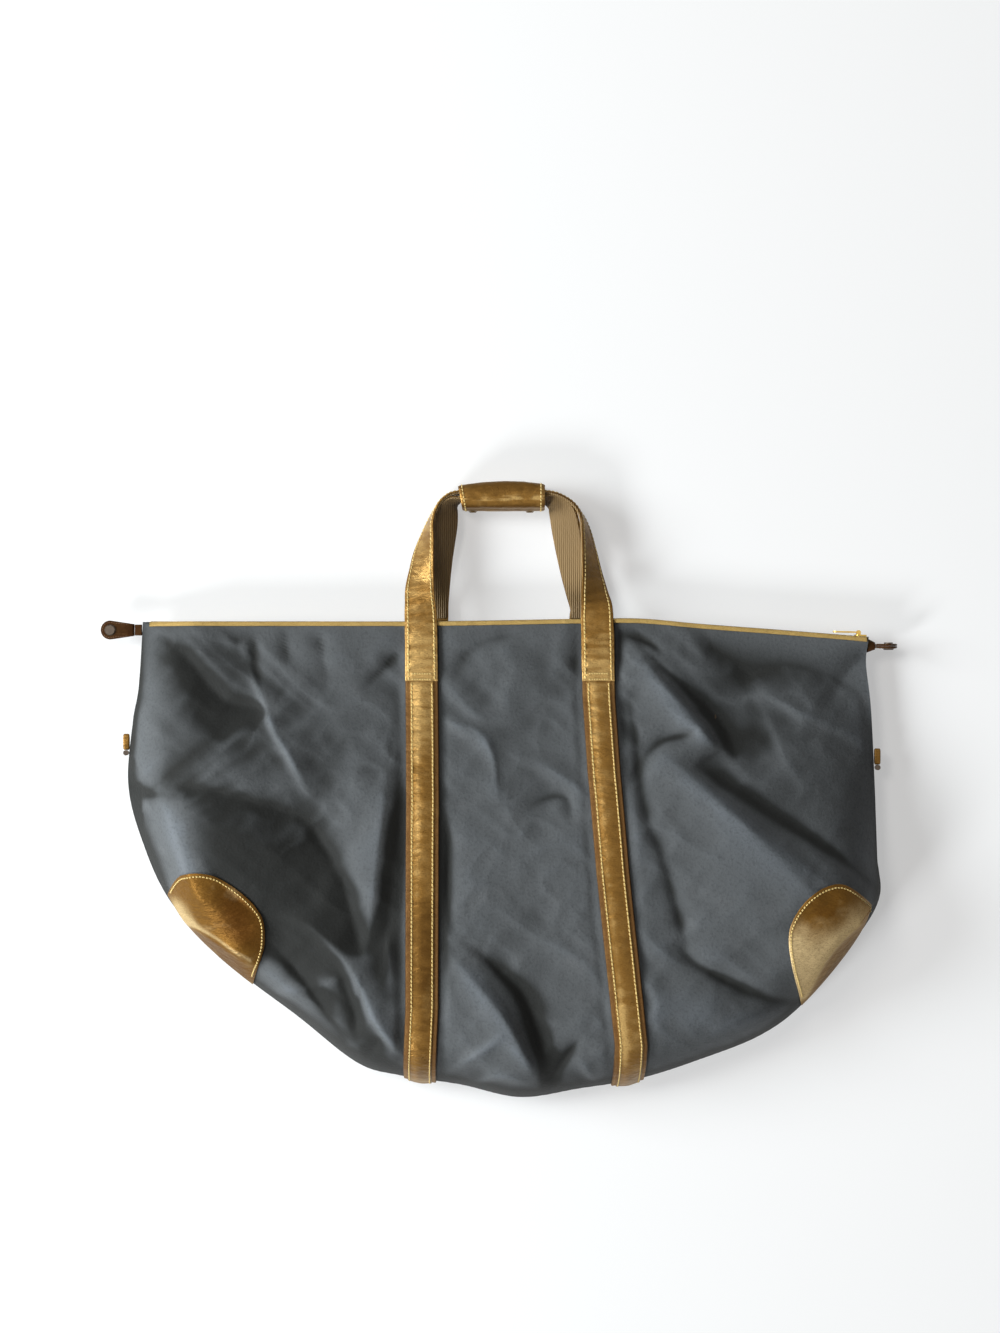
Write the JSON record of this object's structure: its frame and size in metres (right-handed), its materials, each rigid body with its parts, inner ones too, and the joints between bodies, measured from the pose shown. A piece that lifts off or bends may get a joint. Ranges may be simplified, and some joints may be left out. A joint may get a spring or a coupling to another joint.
{
  "type": "travel bag",
  "caption": "Large soft canvas holdall with leather straps, corner patches and a wrapped carrying handle, lying empty on its back with its zip closed.",
  "frame": {"origin": "under the middle of the whole bag, at the level it rests on, with the bag lying on its back", "axes": "+Z out of the front panel, +Y from the bottom fold towards the handle, +X along the mouth to the slider's end"},
  "size_m": [0.8361, 0.6475, 0.1033],
  "materials": {
    "canvas": "coated canvas, fine weave, soft sheen",
    "lining": "plain woven lining",
    "tan_leather": "grained leather, golden brown, light stitching",
    "strap_backing_leather": "grained leather, edges stitched",
    "brown_leather": "dark reddish brown leather",
    "zip_tape": "woven zip tape",
    "brass": "polished yellow brass",
    "dark_stud": "antiqued brass press stud"
  },
  "bodies": {
    "bag": {"front_panel": "canvas", "back_panel": "canvas", "front_lining": "lining", "back_lining": "lining", "left_strap_backing": "strap_backing_leather", "right_strap_backing": "strap_backing_leather", "left_strap_face": "tan_leather", "right_strap_face": "tan_leather", "front_left_lap": "tan_leather", "front_right_lap": "tan_leather", "back_left_lap": "tan_leather", "back_right_lap": "tan_leather", "front_left_corner": "tan_leather", "front_right_corner": "tan_leather", "back_left_corner": "tan_leather", "back_right_corner": "tan_leather", "front_binding": "tan_leather", "back_binding": "tan_leather", "front_zip_tape": "zip_tape", "back_zip_tape": "zip_tape", "front_zip_teeth": "brass", "back_zip_teeth": "brass", "zip_end_stop": "brass", "left_side_tab": "tan_leather", "right_side_tab": "tan_leather", "left_side_stud": "dark_stud", "right_side_stud": "dark_stud", "left_tab_root": "brown_leather", "right_tab_root": "brown_leather"},
    "slider": {"slider_body": "brass"},
    "pull": {"pull_tab": "brass"},
    "handles": {"front_handle_leather": "tan_leather", "front_handle_lining": "brown_leather", "back_handle_leather": "tan_leather", "back_handle_lining": "brown_leather", "wrap_under": "tan_leather", "wrap_studs": "brass"},
    "wrap_cover": {"wrap_flap": "tan_leather", "wrap_caps": "brass"},
    "left_zip_tab": {"left_tab_upper": "brown_leather", "left_tab_lower": "brown_leather", "left_tab_cap": "dark_stud", "left_tab_socket": "dark_stud"},
    "right_zip_tab": {"right_tab_upper": "brown_leather", "right_tab_lower": "brown_leather", "right_tab_cap": "dark_stud", "right_tab_socket": "dark_stud"}
  },
  "joints": [
    {"name": "zip_slide", "type": "slide", "parent": "bag", "child": "slider", "axis": [-0.9998, 0.0187, 0], "range_m": [0, 0.68]},
    {"name": "pull_swing", "type": "hinge", "parent": "slider", "child": "pull", "pos_m": [0.37812, 0.16413, 0.022], "axis": [0, 0, -1], "range_deg": [0, 175]},
    {"name": "handle_fold", "type": "hinge", "parent": "bag", "child": "handles", "pos_m": [0, 0.179, 0.0402], "axis": [1, 0, 0], "range_deg": [0, 160]},
    {"name": "wrap_open", "type": "hinge", "parent": "handles", "child": "wrap_cover", "pos_m": [0.003, 0.3239, 0.0225], "axis": [-1, 0, 0], "range_deg": [0, 100]},
    {"name": "left_tab_fold", "type": "hinge", "parent": "bag", "child": "left_zip_tab", "pos_m": [-0.3845, 0.1664, 0.022], "axis": [0, 1, 0], "range_deg": [-80, 85]},
    {"name": "right_tab_fold", "type": "hinge", "parent": "bag", "child": "right_zip_tab", "pos_m": [0.3976, 0.1496, 0.022], "axis": [0, 0, 1], "range_deg": [-70, 70]}
  ]
}
